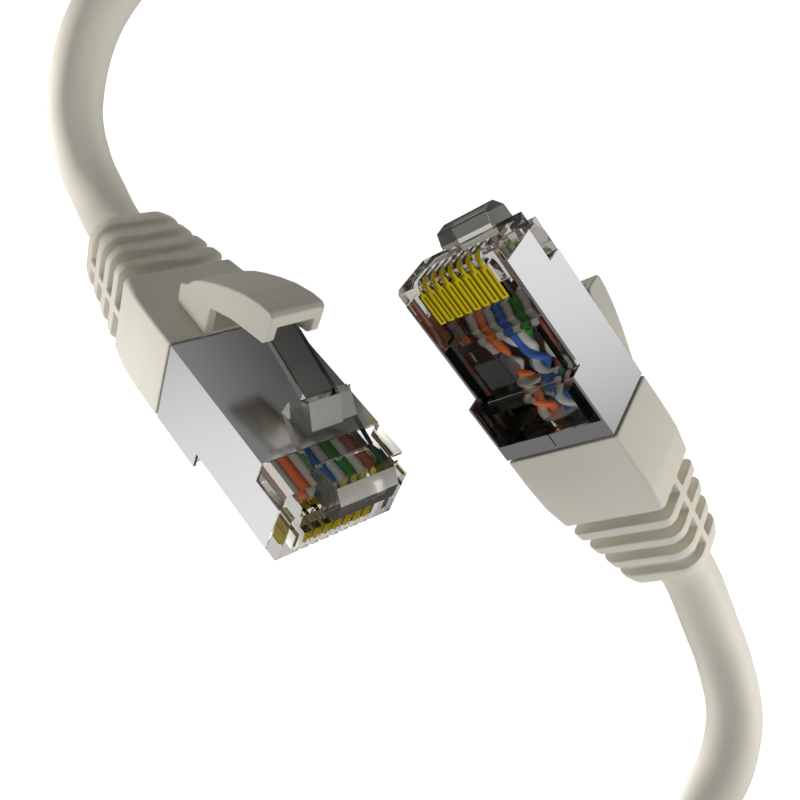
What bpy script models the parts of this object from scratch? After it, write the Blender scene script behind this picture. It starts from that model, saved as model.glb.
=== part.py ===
"""Shielded ethernet patch cable, 0.5 m: two 8P8C plugs with snag-free boots on one round cord.

Each plug is modelled once in its own frame and placed twice.  In that frame +X points out of the
nose, +Y across the plug, +Z towards the latch, and the origin is the middle of the nose face at
the level of the rear contact-side face.  Lengths below are in millimetres.
"""

from math import cos, pi, radians, sin

import bmesh
import bpy
from mathutils import Matrix, Vector

MM = 0.001

# Driving dimensions of the plug, distances measured back from the nose
PLUG_WIDTH = 11.7
PLUG_HEIGHT = 8.4
FIT = 0.05  # clearance between parts that nest inside the plug
CONTACT_FACE = 1.6  # height of the front contact-side face above the rear one
STEP_BACK = 12.3  # where the contact side steps down to its full depth
SHOULDER_BACK = 1.3
SHOULDER_FLOOR = 7.0
NOSE_BEVEL = 0.6  # how far back the sloped lower edge of the nose reaches
NOSE_BEVEL_TOP = 2.5
NOSE_SIDE_GAP = 0.03  # the nose stands this much inside the plug's full width on each side
NOSE_TOP_GAP = 0.08
STEP_GAP = 0.1
ROOT_HALF = 2.9
ROOT_PROFILE = (
    (-1.15, 7.4),
    (-1.25, 8.8),
    (-0.4, 9.8),
    (0.9, 9.85),
    (2.4, 9.4),
    (2.4, 6.5),
    (-0.2, 6.5),
)
CONDUCTORS = 8
PITCH = 1.02
SLOT_FRONT = 0.2
CONTACT_SLOT_HALF = 0.21
LANES_HALF = 4.25  # half width of the space the conductors lie in
LANES_CLEARANCE = 0.1
CHAMBER_BACK = (7.5, 18.6)
CHAMBER_HALF = 4.6
CHAMBER_UP = (2.6, 6.9)
CLAMP_POCKET = ((8.7, 11.9), (-3.8, 3.8), (0.5, 2.7))
REAR_POCKET = ((13.4, 16.8), (-4.1, 4.1), (-0.5, 2.7))
BELOW = -1.0  # cutters start outside the plug

# Shield
SHEET = 0.25
SHIELD_FRONT = 1.53
SHIELD_TOP_FRONT = 4.72
SHIELD_NOTCH = 6.4
SHIELD_BACK = 18.6
HOUSING_BACK = SHIELD_BACK - 0.4
STRAP_FRONT = 17.0
SEAM = 0.12
STRAP_CUT = 0.1  # how far the window and the seam reach above the strap
FERRULE_RADIUS = 3.2
FERRULE_BACK = 24.0

# Conductors, contacts and what holds them
WIRE_RADIUS = 0.45
WIRE_LEVEL = 5.2
WIRE_TIP = 1.45
WIRE_FAN = 8.0  # where the straight lanes end
WIRE_END = 16.6
WIRE_GATHERED = 14.0  # where they have all been drawn in
WIRE_BUNCH_PITCH = 0.62
WIRE_BUNCH_RISE = 0.48
WIRE_STATIONS = (WIRE_TIP, 4.5, WIRE_FAN, 9.2, 10.4, 11.6, 12.8, WIRE_GATHERED, WIRE_END)
WIRE_SIDES = 8
CONTACT_THICK = 0.32
CONTACT_FRONT = 0.4
CONTACT_BACK = 4.4
CONTACT_LOW = 2.1
CONTACT_PEAK = WIRE_LEVEL - WIRE_RADIUS - FIT
CONTACT_PROFILE = (
    (CONTACT_FRONT, 2.3),
    (CONTACT_FRONT + 0.35, CONTACT_LOW),
    (CONTACT_BACK, CONTACT_LOW),
    (CONTACT_BACK, 3.5),
    (3.5, CONTACT_PEAK),
    (2.6, 3.7),
    (1.9, CONTACT_PEAK),
    (CONTACT_FRONT, 3.4),
)
BAR_FRONT = 5.3
BAR_BACK = 7.1
BAR_HALF = 4.2
BAR_HALF_HEIGHT = 0.5
BAR_HOLE = WIRE_RADIUS + 0.02
CLAMP_FRONT = 9.1
CLAMP_BACK = 11.5
CLAMP_HALF = 3.6
CLAMP_PROFILE = (
    (CLAMP_FRONT, 1.6),
    (CLAMP_BACK, 1.6),
    (CLAMP_BACK, 3.3),
    (CLAMP_BACK - 0.7, 3.7),
    (CLAMP_FRONT, 2.4),
)

# Latch
LATCH_HALF = 3.05
LATCH_PLATE_PROFILE = (
    (2.5, 9.4),
    (5.0, 10.2),
    (5.9, 11.7),
    (7.0, 11.6),
    (7.0, 10.5),
    (5.2, 9.25),
    (2.5, 8.55),
)
LEVER_HALF = 1.55
LEVER_PROFILE = (
    (5.6, 11.2),
    (6.0, 11.95),
    (12.3, 13.5),
    (14.8, 14.1),
    (14.8, 13.2),
    (12.3, 12.5),
    (6.3, 10.3),
)
CHANNEL_WALL = 0.35
CHANNEL_PROFILE = ((6.9, 11.75), (6.9, 13.5), (15.5, 15.5), (15.5, 13.85))
LATCH_HINGE = (2.45, 8.9)

# Boot and hood
BOOT_FRONT = 18.9
BOOT_BACK = 36.5
BOOT_HALF = 5.92
BOOT_TOP = 8.5
CORD_LEVEL = 4.8
CORD_DIAMETER = 5.4
CORD_GAP = 0.2  # between the free cord and the boot, and between the boot's end and the jacket in it
CORE_RADIUS = 3.1  # what the cross slots leave round the cord
SLOTS = 4
SLOT_PITCH = 2.11
SLOT_WIDTH = 1.2
SLOT_FIRST = 28.2
SIDE_BAR_LOW = 3.7  # the bar left at each side between the upper and the lower slots
SIDE_BAR_TOP = 4.55
BOOT_SECTIONS = (  # distance back, half width, low, high, corner radius
    (BOOT_FRONT, BOOT_HALF, -0.05, BOOT_TOP, 0.45),
    (22.2, BOOT_HALF, -0.05, BOOT_TOP, 0.6),
    (25.0, 5.85, 0.05, BOOT_TOP, 0.9),
    (27.4, 5.5, 0.2, BOOT_TOP, 1.3),
    (30.5, 5.15, 0.3, BOOT_TOP, 1.7),
    (33.5, 4.75, 0.45, BOOT_TOP - 0.05, 2.0),
    (35.6, 4.45, 0.6, BOOT_TOP - 0.1, 2.2),
    (BOOT_BACK, 4.2, 0.85, BOOT_TOP - 0.35, 2.3),
)
SLOT_REACH = 8.0  # half width of the cutters of the cross slots
SLOT_TOP = 12.0
SLOT_BOTTOM = -4.0
HOOD_HALF = 2.5
HOOD_WALL = 0.75
FOOT_PROFILE = (
    (19.3, 8.2),
    (19.3, 13.7),
    (20.1, 13.3),
    (21.9, 11.9),
    (22.4, 11.1),
    (23.5, 10.6),
    (23.4, 8.2),
)
THROAT_PROFILE = ((18.9, 8.6), (18.9, 12.4), (20.0, 12.4), (21.5, 11.0), (21.5, 8.6))
HOOD_PROFILE = (
    (19.2, 13.75),
    (17.2, 14.9),
    (15.0, 15.85),
    (13.2, 16.4),
    (11.9, 16.6),
    (11.5, 16.35),
    (11.45, 14.05),
    (11.85, 13.55),
    (13.7, 13.1),
    (16.2, 12.45),
    (19.2, 11.25),
)
TUNNEL_PROFILE = (
    (19.8, 9.5),
    (19.8, 12.4),
    (17.2, 13.6),
    (14.8, 14.6),
    (13.0, 15.0),
    (10.5, 15.1),
    (10.5, 9.5),
)
HOOD_HINGE = (19.25, 11.3)

# Where the plugs are, above the floor at height 0: nose point, then roll, rise and heading in degrees
CENTRE = (-0.014, 0.331, 14.792)  # the middle of the two plugs, which becomes the model's origin
PLUG_POSES = {
    "a": ((-5.84, -12.37, 19.22), -44.2, 26.1, -47.9),
    "b": ((2.85, 9.65, 20.99), 132.5, 18.2, 128.3),
}

# The free cord between the boots: its route between the two exits, on the floor unless stated
FLOOR_LEVEL = CORD_DIAMETER / 2
ROUTE = (
    (-30.2, 20.6, 3.3),
    (-31.9, 24.2, 2.8),
    (-32.85, 30.0, FLOOR_LEVEL),
    (-30.2, 39.7, FLOOR_LEVEL),
    (-20.0, 50.0, FLOOR_LEVEL),
    (-5.0, 53.6, FLOOR_LEVEL),
    (21.0, 53.6, FLOOR_LEVEL),
    (48.0, 50.0, FLOOR_LEVEL),
    (63.0, 39.5, FLOOR_LEVEL),
    (70.5, 26.0, FLOOR_LEVEL),
    (74.2, 13.0, FLOOR_LEVEL),
    (75.4, 0.0, FLOOR_LEVEL),
    (74.6, -9.6, FLOOR_LEVEL),
    (71.0, -16.4, FLOOR_LEVEL),
    (64.5, -20.1, FLOOR_LEVEL),
    (56.5, -19.7, FLOOR_LEVEL),
    (49.7, -15.1, FLOOR_LEVEL),
    (46.4, -5.0, FLOOR_LEVEL),
    (51.0, 11.0, 3.6),
    (59.5, 18.0, 6.2),
    (69.4, 18.1, 8.4),
    (77.6, 11.0, 7.7),
    (81.6, -2.0, 4.6),
    (82.0, -16.0, 2.8),
    (80.5, -31.0, FLOOR_LEVEL),
    (74.0, -46.5, FLOOR_LEVEL),
    (62.5, -56.5, FLOOR_LEVEL),
    (52.0, -59.9, FLOOR_LEVEL),
    (41.8, -60.3, FLOOR_LEVEL),
    (32.5, -56.3, FLOOR_LEVEL),
    (28.75, -48.6, FLOOR_LEVEL),
    (30.2, -42.2, FLOOR_LEVEL),
    (32.8, -37.2, FLOOR_LEVEL),
    (33.8, -31.8, FLOOR_LEVEL),
    (32.7, -26.4, 2.9),
    (31.2, -22.7, 3.5),
)
CORD_POINTS = 78
EXIT_RUN = 3.2  # how far the cord runs straight out of a boot before it bends


# ---------------------------------------------------------------- mesh helpers


def mesh_from(build):
    """A mesh filled in by build(bm), in metres."""
    bm = bmesh.new()
    build(bm)
    bmesh.ops.recalc_face_normals(bm, faces=bm.faces)
    mesh = bpy.data.meshes.new("solid")
    bm.to_mesh(mesh)
    bm.free()
    return mesh


def add_loft(bm, rings):
    """Skin a list of equally long closed rings of (x, y, z) points and cap both ends."""
    rows = [[bm.verts.new(Vector(p) * MM) for p in ring] for ring in rings]
    count = len(rows[0])
    for row, following in zip(rows, rows[1:]):
        for i in range(count):
            j = (i + 1) % count
            bm.faces.new((row[i], row[j], following[j], following[i]))
    bm.faces.new(rows[0])
    bm.faces.new(list(reversed(rows[-1])))


def prism(profile, low, high):
    """A side profile of (back, up) points, extruded across the plug from low to high."""
    rings = [[(-back, across, up) for back, up in profile] for across in (low, high)]
    return mesh_from(lambda bm: add_loft(bm, rings))


def block(back, across, up):
    """A box from three (low, high) ranges."""
    corners = ((back[0], up[0]), (back[1], up[0]), (back[1], up[1]), (back[0], up[1]))
    return prism(corners, *across)


def rod(radius, front, end, level, across=0.0, sides=24):
    """A round bar lying along the plug."""
    turns = [2 * pi * i / sides for i in range(sides)]
    rings = [
        [(-back, across + radius * cos(t), level + radius * sin(t)) for t in turns]
        for back in (front, end)
    ]
    return mesh_from(lambda bm: add_loft(bm, rings))


def rounded_section(back, half, low, high, corner, steps=4):
    """A ring: a rectangle with round corners, square to the plug's length."""
    ring = []
    centres = ((1, 1), (-1, 1), (-1, -1), (1, -1))
    for quarter, (side, level) in enumerate(centres):
        y = side * (half - corner)
        z = high - corner if level > 0 else low + corner
        for i in range(steps + 1):
            turn = (quarter + i / steps) * pi / 2
            ring.append((-back, y + corner * cos(turn), z + corner * sin(turn)))
    return ring


def combine(base, tools, operation):
    """Join or cut base with each tool mesh and return the result as one mesh."""
    scene = bpy.context.scene.collection
    owner = bpy.data.objects.new("owner", base)
    scene.objects.link(owner)
    helpers = []
    for tool in tools:
        helper = bpy.data.objects.new("tool", tool)
        helper.hide_render = True
        helper.display_type = "WIRE"
        scene.objects.link(helper)
        helpers.append(helper)
        modifier = owner.modifiers.new("combine", "BOOLEAN")
        modifier.operation = operation
        modifier.object = helper
    depsgraph = bpy.context.evaluated_depsgraph_get()
    result = bpy.data.meshes.new_from_object(owner.evaluated_get(depsgraph))
    for obj in (owner, *helpers):
        bpy.data.objects.remove(obj)
    return result


def cut(base, *tools):
    return combine(base, tools, "DIFFERENCE")


def join(base, *tools):
    return combine(base, tools, "UNION")


def about(mesh, hinge):
    """Move a mesh so that the hinge point (back, up) becomes its origin."""
    mesh.transform(Matrix.Translation((hinge[0] * MM, 0, -hinge[1] * MM)))
    return mesh


def lane(index):
    """Where conductor number index, counted from 0, lies across the plug."""
    return (index - (CONDUCTORS - 1) / 2) * PITCH


# ---------------------------------------------------------------- sub-parts of one plug


def housing_mesh():
    """Clear body: nose, shoulders, latch root, wire chamber, contact slots and bottom pockets."""
    inner_half = PLUG_WIDTH / 2 - SHEET - FIT
    top = PLUG_HEIGHT - SHEET - FIT
    body = prism(
        (
            (0, NOSE_BEVEL_TOP),
            (0, SHOULDER_FLOOR),
            (SHOULDER_BACK, SHOULDER_FLOOR),
            (SHOULDER_BACK, top),
            (HOUSING_BACK, top),
            (HOUSING_BACK, SHEET + FIT),
            (STEP_BACK + STEP_GAP, SHEET + FIT),
            (STEP_BACK + STEP_GAP, CONTACT_FACE),
            (NOSE_BEVEL, CONTACT_FACE),
        ),
        -inner_half,
        inner_half,
    )
    nose_half = PLUG_WIDTH / 2 - NOSE_SIDE_GAP
    nose_top = PLUG_HEIGHT - NOSE_TOP_GAP
    nose = prism(
        (
            (0, NOSE_BEVEL_TOP),
            (0, SHOULDER_FLOOR),
            (SHOULDER_BACK, SHOULDER_FLOOR),
            (SHOULDER_BACK, nose_top),
            (SHIELD_TOP_FRONT - FIT, nose_top),
            (SHIELD_TOP_FRONT - FIT, SHIELD_NOTCH + FIT),
            (SHIELD_FRONT - FIT, SHIELD_NOTCH + FIT),
            (SHIELD_FRONT - FIT, CONTACT_FACE),
            (NOSE_BEVEL, CONTACT_FACE),
        ),
        -nose_half,
        nose_half,
    )
    root = prism(ROOT_PROFILE, -ROOT_HALF, ROOT_HALF)
    body = join(body, nose, root)
    slots = []
    for i in range(CONDUCTORS):
        across = (lane(i) - CONTACT_SLOT_HALF, lane(i) + CONTACT_SLOT_HALF)
        slots.append(block((SLOT_FRONT, CONTACT_BACK + 2 * FIT), across, (0.5, WIRE_LEVEL)))
    lanes_up = WIRE_RADIUS + LANES_CLEARANCE
    cuts = (
        block(
            (WIRE_TIP - LANES_CLEARANCE, CHAMBER_BACK[0] + LANES_CLEARANCE),
            (-LANES_HALF, LANES_HALF),
            (WIRE_LEVEL - lanes_up, WIRE_LEVEL + lanes_up),
        ),
        block(CHAMBER_BACK, (-CHAMBER_HALF, CHAMBER_HALF), CHAMBER_UP),
        block(*CLAMP_POCKET),
        block(*REAR_POCKET),
        rod(CORD_DIAMETER / 2 + 2 * FIT, WIRE_END, SHIELD_BACK, CORD_LEVEL),
    )
    return cut(body, *slots, *cuts)


def latch_mesh():
    """Wide root plate with two shoulders, and the narrow lever that rises behind it."""
    plate = prism(LATCH_PLATE_PROFILE, -LATCH_HALF, LATCH_HALF)
    lever = prism(LEVER_PROFILE, -LEVER_HALF, LEVER_HALF)
    channel = prism(CHANNEL_PROFILE, CHANNEL_WALL - LEVER_HALF, LEVER_HALF - CHANNEL_WALL)
    return about(cut(join(plate, lever), channel), LATCH_HINGE)


def shield_mesh():
    """Folded sheet: top, two stepped sides, bottom strap with its seam, back wall and ferrule."""
    half = PLUG_WIDTH / 2
    outer = prism(
        (
            (SHIELD_TOP_FRONT, PLUG_HEIGHT),
            (SHIELD_TOP_FRONT, SHIELD_NOTCH),
            (SHIELD_FRONT, SHIELD_NOTCH),
            (SHIELD_FRONT, CONTACT_FACE),
            (STEP_BACK, CONTACT_FACE),
            (STEP_BACK, 0),
            (SHIELD_BACK, 0),
            (SHIELD_BACK, PLUG_HEIGHT),
        ),
        -half,
        half,
    )
    inside = half - SHEET
    back_wall = SHIELD_BACK - SHEET
    hollow = block((BELOW, back_wall), (-inside, inside), (SHEET, PLUG_HEIGHT - SHEET))
    window = block((BELOW, STRAP_FRONT), (-inside, inside), (BELOW, SHEET + STRAP_CUT))
    seam = block(
        (STRAP_FRONT - 1, back_wall), (-SEAM / 2, SEAM / 2), (BELOW, SHEET + STRAP_CUT)
    )
    shell = cut(outer, hollow, window, seam)
    ferrule = rod(FERRULE_RADIUS, SHIELD_BACK - FIT, FERRULE_BACK, CORD_LEVEL)
    bore = rod(FERRULE_RADIUS - SHEET, back_wall - 0.5, FERRULE_BACK + 1, CORD_LEVEL)
    return cut(join(shell, ferrule), bore)


def contact_mesh(index):
    """One gold blade: a flat contact edge with two piercing points above it."""
    middle = lane(index)
    return prism(CONTACT_PROFILE, middle - CONTACT_THICK / 2, middle + CONTACT_THICK / 2)


def wire_mesh(index):
    """One insulated conductor: straight in its lane, then drawn in towards the cord's jacket."""
    sign = 1 if index % 2 else -1
    bunch = (index - (CONDUCTORS - 1) / 2) * WIRE_BUNCH_PITCH
    rings = []
    turns = [2 * pi * (i + 0.5) / WIRE_SIDES for i in range(WIRE_SIDES)]
    for back in WIRE_STATIONS:
        share = min(max((back - WIRE_FAN) / (WIRE_GATHERED - WIRE_FAN), 0), 1)
        ease = share * share * (3 - 2 * share)
        across = lane(index) * (1 - ease) + bunch * ease
        level = WIRE_LEVEL * (1 - ease) + (CORD_LEVEL + sign * WIRE_BUNCH_RISE) * ease
        rings.append(
            [(-back, across + WIRE_RADIUS * cos(t), level + WIRE_RADIUS * sin(t)) for t in turns]
        )
    return mesh_from(lambda bm: add_loft(bm, rings))


def load_bar_mesh():
    """Clear comb that keeps the eight conductors in their lanes."""
    up = (WIRE_LEVEL - BAR_HALF_HEIGHT, WIRE_LEVEL + BAR_HALF_HEIGHT)
    bar = block((BAR_FRONT, BAR_BACK), (-BAR_HALF, BAR_HALF), up)
    holes = [
        rod(BAR_HOLE, BAR_FRONT - 1, BAR_BACK + 1, WIRE_LEVEL, lane(i), sides=12)
        for i in range(CONDUCTORS)
    ]
    return cut(bar, *holes)


def strain_clamp_mesh():
    """Wedge-shaped bar that presses the conductors from the contact side."""
    return prism(CLAMP_PROFILE, -CLAMP_HALF, CLAMP_HALF)


def jacket_end_mesh():
    """The end of the cord's jacket, held by the ferrule and the boot."""
    return rod(CORD_DIAMETER / 2, WIRE_END + 0.3, BOOT_BACK - CORD_GAP, CORD_LEVEL)


def slot_tools():
    """The cross slots of the strain relief, cut in from above and from below as far as the core."""
    core = rod(CORE_RADIUS, BOOT_FRONT, BOOT_BACK + 2, CORD_LEVEL, sides=32)
    tools = []
    for i in range(SLOTS):
        middle = SLOT_FIRST + i * SLOT_PITCH
        along = (middle - SLOT_WIDTH / 2, middle + SLOT_WIDTH / 2)
        for up in ((SIDE_BAR_TOP, SLOT_TOP), (SLOT_BOTTOM, SIDE_BAR_LOW)):
            tools.append(cut(block(along, (-SLOT_REACH, SLOT_REACH), up), core))
    return tools


def boot_mesh():
    """Moulded boot: square section over the plug's back, tapering into slotted strain relief."""
    rings = [rounded_section(*section) for section in BOOT_SECTIONS]
    body = mesh_from(lambda bm: add_loft(bm, rings))
    pocket = rod(FERRULE_RADIUS + FIT, BOOT_FRONT - 1, FERRULE_BACK + 0.3, CORD_LEVEL)
    bore = rod(CORD_DIAMETER / 2 + FIT, BOOT_FRONT, BOOT_BACK + 1, CORD_LEVEL)
    body = cut(body, pocket, bore, *slot_tools())
    inside = HOOD_HALF - HOOD_WALL
    foot = prism(FOOT_PROFILE, -HOOD_HALF, HOOD_HALF)
    throat = prism(THROAT_PROFILE, -inside, inside)
    return join(body, cut(foot, throat))


def hood_mesh():
    """Arched cover over the latch lever: a top plate with two skirts."""
    inside = HOOD_HALF - HOOD_WALL
    body = prism(HOOD_PROFILE, -HOOD_HALF, HOOD_HALF)
    tunnel = prism(TUNNEL_PROFILE, -inside, inside)
    return about(cut(body, tunnel), HOOD_HINGE)


# ---------------------------------------------------------------- materials


def material(name, colour, roughness, metallic=0.0):
    made = bpy.data.materials.new(name)
    made.use_nodes = True
    shader = made.node_tree.nodes["Principled BSDF"]
    shader.inputs["Base Color"].default_value = (*colour, 1)
    shader.inputs["Roughness"].default_value = roughness
    shader.inputs["Metallic"].default_value = metallic
    made.diffuse_color = (*colour, 1)
    return made


def make_materials():
    beige = (0.56, 0.54, 0.46)
    return {
        "clear": material("clear_polycarbonate", (0.82, 0.82, 0.78), 0.08),
        "nickel": material("nickel_shield", (0.66, 0.66, 0.67), 0.2, 1.0),
        "gold": material("gold_contact", (0.85, 0.62, 0.08), 0.2, 1.0),
        "boot": material("boot_rubber", beige, 0.55),
        "jacket": material("cord_jacket", beige, 0.5),
        "orange": material("wire_orange", (0.62, 0.12, 0.03), 0.45),
        "green": material("wire_green", (0.03, 0.2, 0.04), 0.45),
        "blue": material("wire_blue", (0.03, 0.1, 0.35), 0.45),
        "brown": material("wire_brown", (0.2, 0.06, 0.04), 0.45),
        "white": material("wire_white", (0.6, 0.58, 0.55), 0.45),
    }


WIRE_COLOURS = ("white", "orange", "white", "blue", "white", "green", "white", "brown")


# ---------------------------------------------------------------- assembly


def shade(mesh, angle=35):
    mesh.shade_smooth()
    mesh.set_sharp_from_angle(angle=radians(angle))


def plug_meshes(materials):
    """Every sub-part of a plug: name, mesh, and where its origin lies as (back, up)."""
    rest = (0.0, 0.0)
    parts = [
        ("housing", housing_mesh(), rest, "clear"),
        ("latch", latch_mesh(), LATCH_HINGE, "clear"),
        ("shield", shield_mesh(), rest, "nickel"),
        ("boot", boot_mesh(), rest, "boot"),
        ("hood", hood_mesh(), HOOD_HINGE, "boot"),
        ("load_bar", load_bar_mesh(), rest, "clear"),
        ("strain_clamp", strain_clamp_mesh(), rest, "clear"),
        ("jacket_end", jacket_end_mesh(), rest, "jacket"),
    ]
    for i in range(CONDUCTORS):
        parts.append((f"contact_{i + 1}", contact_mesh(i), rest, "gold"))
        parts.append((f"wire_{i + 1}", wire_mesh(i), rest, WIRE_COLOURS[i]))
    for _, mesh, _, finish in parts:
        mesh.materials.clear()
        mesh.materials.append(materials[finish])
        shade(mesh)
    return parts


def add_object(name, data, parent=None, location=(0, 0, 0)):
    obj = bpy.data.objects.new(name, data)
    obj.parent = parent
    obj.location = location
    bpy.context.scene.collection.objects.link(obj)
    return obj


def placed(point):
    """A point of the layout, in metres from the model's origin."""
    return (Vector(point) - Vector(CENTRE)) * MM


def place_plug(letter, parts):
    """Put one copy of the plug where it lies; returns the empty that carries it."""
    nose, roll, rise, heading = PLUG_POSES[letter]
    frame = add_object(f"plug_{letter}_frame", None)
    frame.location = placed(nose)
    frame.rotation_euler = (radians(roll), radians(-rise), radians(heading))
    for name, mesh, (back, up), _ in parts:
        add_object(f"plug_{letter}_{name}", mesh, frame, (-back * MM, 0, up * MM))
    bpy.context.view_layer.update()
    return frame


def smooth_route(points, steps=24):
    """Many points on one smooth curve through the given ones (centripetal Catmull-Rom)."""
    ends = [2 * points[0] - points[1], *points, 2 * points[-1] - points[-2]]
    dense = []
    for a, b, c, d in zip(ends, ends[1:], ends[2:], ends[3:]):
        t1 = (b - a).length ** 0.5
        t2 = t1 + (c - b).length ** 0.5
        t3 = t2 + (d - c).length ** 0.5
        for i in range(steps):
            t = t1 + (t2 - t1) * i / steps
            ab = a.lerp(b, t / t1)
            bc = b.lerp(c, (t - t1) / (t2 - t1))
            cd = c.lerp(d, (t - t2) / (t3 - t2))
            abc = ab.lerp(bc, t / t2)
            bcd = bc.lerp(cd, (t - t1) / (t3 - t1))
            dense.append(abc.lerp(bcd, (t - t1) / (t2 - t1)))
    return [*dense, points[-1]]


def evenly_spaced(dense, count):
    """count points at equal steps along a dense polyline."""
    lengths = [0.0]
    for a, b in zip(dense, dense[1:]):
        lengths.append(lengths[-1] + (b - a).length)
    spaced = []
    at = 0
    for k in range(count):
        want = lengths[-1] * k / (count - 1)
        while at < len(dense) - 2 and lengths[at + 1] < want:
            at += 1
        share = (want - lengths[at]) / (lengths[at + 1] - lengths[at])
        spaced.append(dense[at].lerp(dense[at + 1], share))
    return spaced


def boot_exit(frame):
    """Where the cord leaves a boot, just clear of it, and a point straight behind that."""
    start = frame.matrix_world @ (Vector((-BOOT_BACK - CORD_GAP, 0, CORD_LEVEL)) * MM)
    onward = frame.matrix_world @ (Vector((-BOOT_BACK - EXIT_RUN, 0, CORD_LEVEL)) * MM)
    return start, onward


def cord_route(frame_a, frame_b):
    start, after_start = boot_exit(frame_a)
    end, before_end = boot_exit(frame_b)
    route = [placed(point) for point in ROUTE]
    return [start, after_start, *route, before_end, end]


def make_cord(route, jacket):
    """The free cord as a bevelled curve with filled ends."""
    points = evenly_spaced(smooth_route(route), CORD_POINTS)
    curve = bpy.data.curves.new("cord", "CURVE")
    curve.dimensions = "3D"
    curve.bevel_depth = CORD_DIAMETER / 2 * MM
    curve.bevel_resolution = 2
    curve.use_fill_caps = True
    spline = curve.splines.new("POLY")
    spline.points.add(len(points) - 1)
    for slot, point in zip(spline.points, points):
        slot.co = (*point, 1)
    curve.materials.append(jacket)
    return add_object("cord", curve)


def main():
    for obj in list(bpy.data.objects):
        bpy.data.objects.remove(obj)
    materials = make_materials()
    parts = plug_meshes(materials)
    frames = [place_plug(letter, parts) for letter in PLUG_POSES]
    make_cord(cord_route(*frames), materials["jacket"])


main()
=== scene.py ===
"""Looks of the ethernet patch cable, built around its CAD parts. Lengths are in millimetres unless said.

A plug's own frame runs back from its nose, across it, and up from its contact side to its latch side. Its
x axis points out of the nose, so a place that lies back from the nose has a negative x.
"""

from math import cos, pi, radians, sin

import bmesh
import bpy
from mathutils import Euler, Matrix, Vector


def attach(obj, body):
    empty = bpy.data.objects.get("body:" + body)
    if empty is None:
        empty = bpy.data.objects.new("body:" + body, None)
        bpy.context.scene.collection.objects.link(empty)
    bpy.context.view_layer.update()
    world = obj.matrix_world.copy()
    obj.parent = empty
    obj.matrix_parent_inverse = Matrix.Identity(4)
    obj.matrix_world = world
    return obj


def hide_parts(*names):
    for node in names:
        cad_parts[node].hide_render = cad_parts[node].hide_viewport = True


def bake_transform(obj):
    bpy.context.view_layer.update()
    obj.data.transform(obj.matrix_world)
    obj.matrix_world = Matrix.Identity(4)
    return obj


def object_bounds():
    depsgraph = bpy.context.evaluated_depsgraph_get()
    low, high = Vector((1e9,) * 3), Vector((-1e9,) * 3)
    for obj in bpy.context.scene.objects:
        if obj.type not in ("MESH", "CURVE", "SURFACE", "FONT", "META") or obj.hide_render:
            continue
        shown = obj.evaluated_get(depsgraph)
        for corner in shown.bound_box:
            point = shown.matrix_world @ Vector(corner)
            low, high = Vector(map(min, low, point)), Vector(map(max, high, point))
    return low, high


MM = 0.001
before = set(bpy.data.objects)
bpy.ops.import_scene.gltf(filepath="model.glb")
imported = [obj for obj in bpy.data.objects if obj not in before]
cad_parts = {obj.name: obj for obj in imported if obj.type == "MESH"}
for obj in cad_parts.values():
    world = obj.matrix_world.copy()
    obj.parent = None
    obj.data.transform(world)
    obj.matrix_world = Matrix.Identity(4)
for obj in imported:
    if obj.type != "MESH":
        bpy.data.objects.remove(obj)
cad_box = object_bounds()

# ---------------------------------------------------------------- places, as in the CAD

CENTRE = Vector((-0.014, 0.331, 14.792))
PLUG_POSES = {  # the nose's place, then the roll, rise and heading in degrees
    "a": ((-5.84, -12.37, 19.22), -44.2, 26.1, -47.9),
    "b": ((2.85, 9.65, 20.99), 132.5, 18.2, 128.3),
}
CORD_DIAMETER = 5.4
CORD_LEVEL = 4.8  # up, in a plug's own frame
CORD_GAP = 0.2  # between a boot's back and the end of the cord
BOOT_FRONT = 18.9
BOOT_BACK = 36.5
FLOOR_LEVEL = CORD_DIAMETER / 2
ROUTE = (  # from plug a's boot to plug b's, with one small loop that crosses over itself
    (-30.2, 20.6, 3.3),
    (-31.9, 24.2, 2.8),
    (-32.85, 30.0, FLOOR_LEVEL),
    (-30.2, 39.7, FLOOR_LEVEL),
    (-20.0, 50.0, FLOOR_LEVEL),
    (-5.0, 53.6, FLOOR_LEVEL),
    (21.0, 53.6, FLOOR_LEVEL),
    (48.0, 50.0, FLOOR_LEVEL),
    (63.0, 39.5, FLOOR_LEVEL),
    (70.5, 26.0, FLOOR_LEVEL),
    (74.2, 13.0, FLOOR_LEVEL),
    (75.4, 0.0, FLOOR_LEVEL),
    (74.6, -9.6, FLOOR_LEVEL),
    (71.0, -16.4, FLOOR_LEVEL),
    (64.5, -20.1, FLOOR_LEVEL),
    (56.5, -19.7, FLOOR_LEVEL),
    (49.7, -15.1, FLOOR_LEVEL),
    (46.4, -5.0, FLOOR_LEVEL),
    (51.0, 11.0, 3.6),
    (59.5, 18.0, 6.2),
    (69.4, 18.1, 8.4),
    (77.6, 11.0, 7.7),
    (81.6, -2.0, 4.6),
    (82.0, -16.0, 2.8),
    (80.5, -31.0, FLOOR_LEVEL),
    (74.0, -46.5, FLOOR_LEVEL),
    (62.5, -56.5, FLOOR_LEVEL),
    (52.0, -59.9, FLOOR_LEVEL),
    (41.8, -60.3, FLOOR_LEVEL),
    (32.5, -56.3, FLOOR_LEVEL),
    (28.75, -48.6, FLOOR_LEVEL),
    (30.2, -42.2, FLOOR_LEVEL),
    (32.8, -37.2, FLOOR_LEVEL),
    (33.8, -31.8, FLOOR_LEVEL),
    (32.7, -26.4, 2.9),
    (31.2, -22.7, 3.5),
)

scene = bpy.context.scene
collection = scene.collection


def placed(point):
    """A place over the surface that the cord lies on, in the row frame, in metres."""
    return (Vector(point) - CENTRE) * MM


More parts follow.
